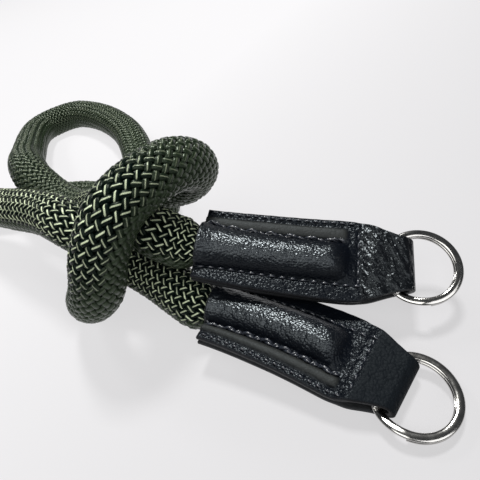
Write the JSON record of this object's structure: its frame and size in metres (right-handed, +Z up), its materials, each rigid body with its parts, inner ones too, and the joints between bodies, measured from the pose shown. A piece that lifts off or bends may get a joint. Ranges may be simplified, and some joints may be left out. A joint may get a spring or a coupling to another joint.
{
  "type": "camera rope strap",
  "caption": "Round braided rope strap, loosely knotted, with a folded leather tab and a steel split ring at each end.",
  "frame": {"origin": "centre of the footprint of the two leather tabs and their rings, on the surface that the strap lies on", "axes": "+Z up, +X from the knot towards the two rings, +Y away from the picture's camera; the rope's long bight runs towards -X"},
  "size_m": [0.3046, 0.1673, 0.0387],
  "materials": {
    "rope_green": "braided dark olive green cord, matt",
    "leather_a": "black, pebbled and slightly glossy",
    "leather_b": "black, pebbled, more worn and matt",
    "steel_a": "polished",
    "steel_b": "polished"
  },
  "bodies": {
    "root": {"rope": "rope_green", "tab_a": "leather_a", "tab_b": "leather_b", "ring_a": "steel_a", "ring_b": "steel_b"}
  },
  "joints": []
}
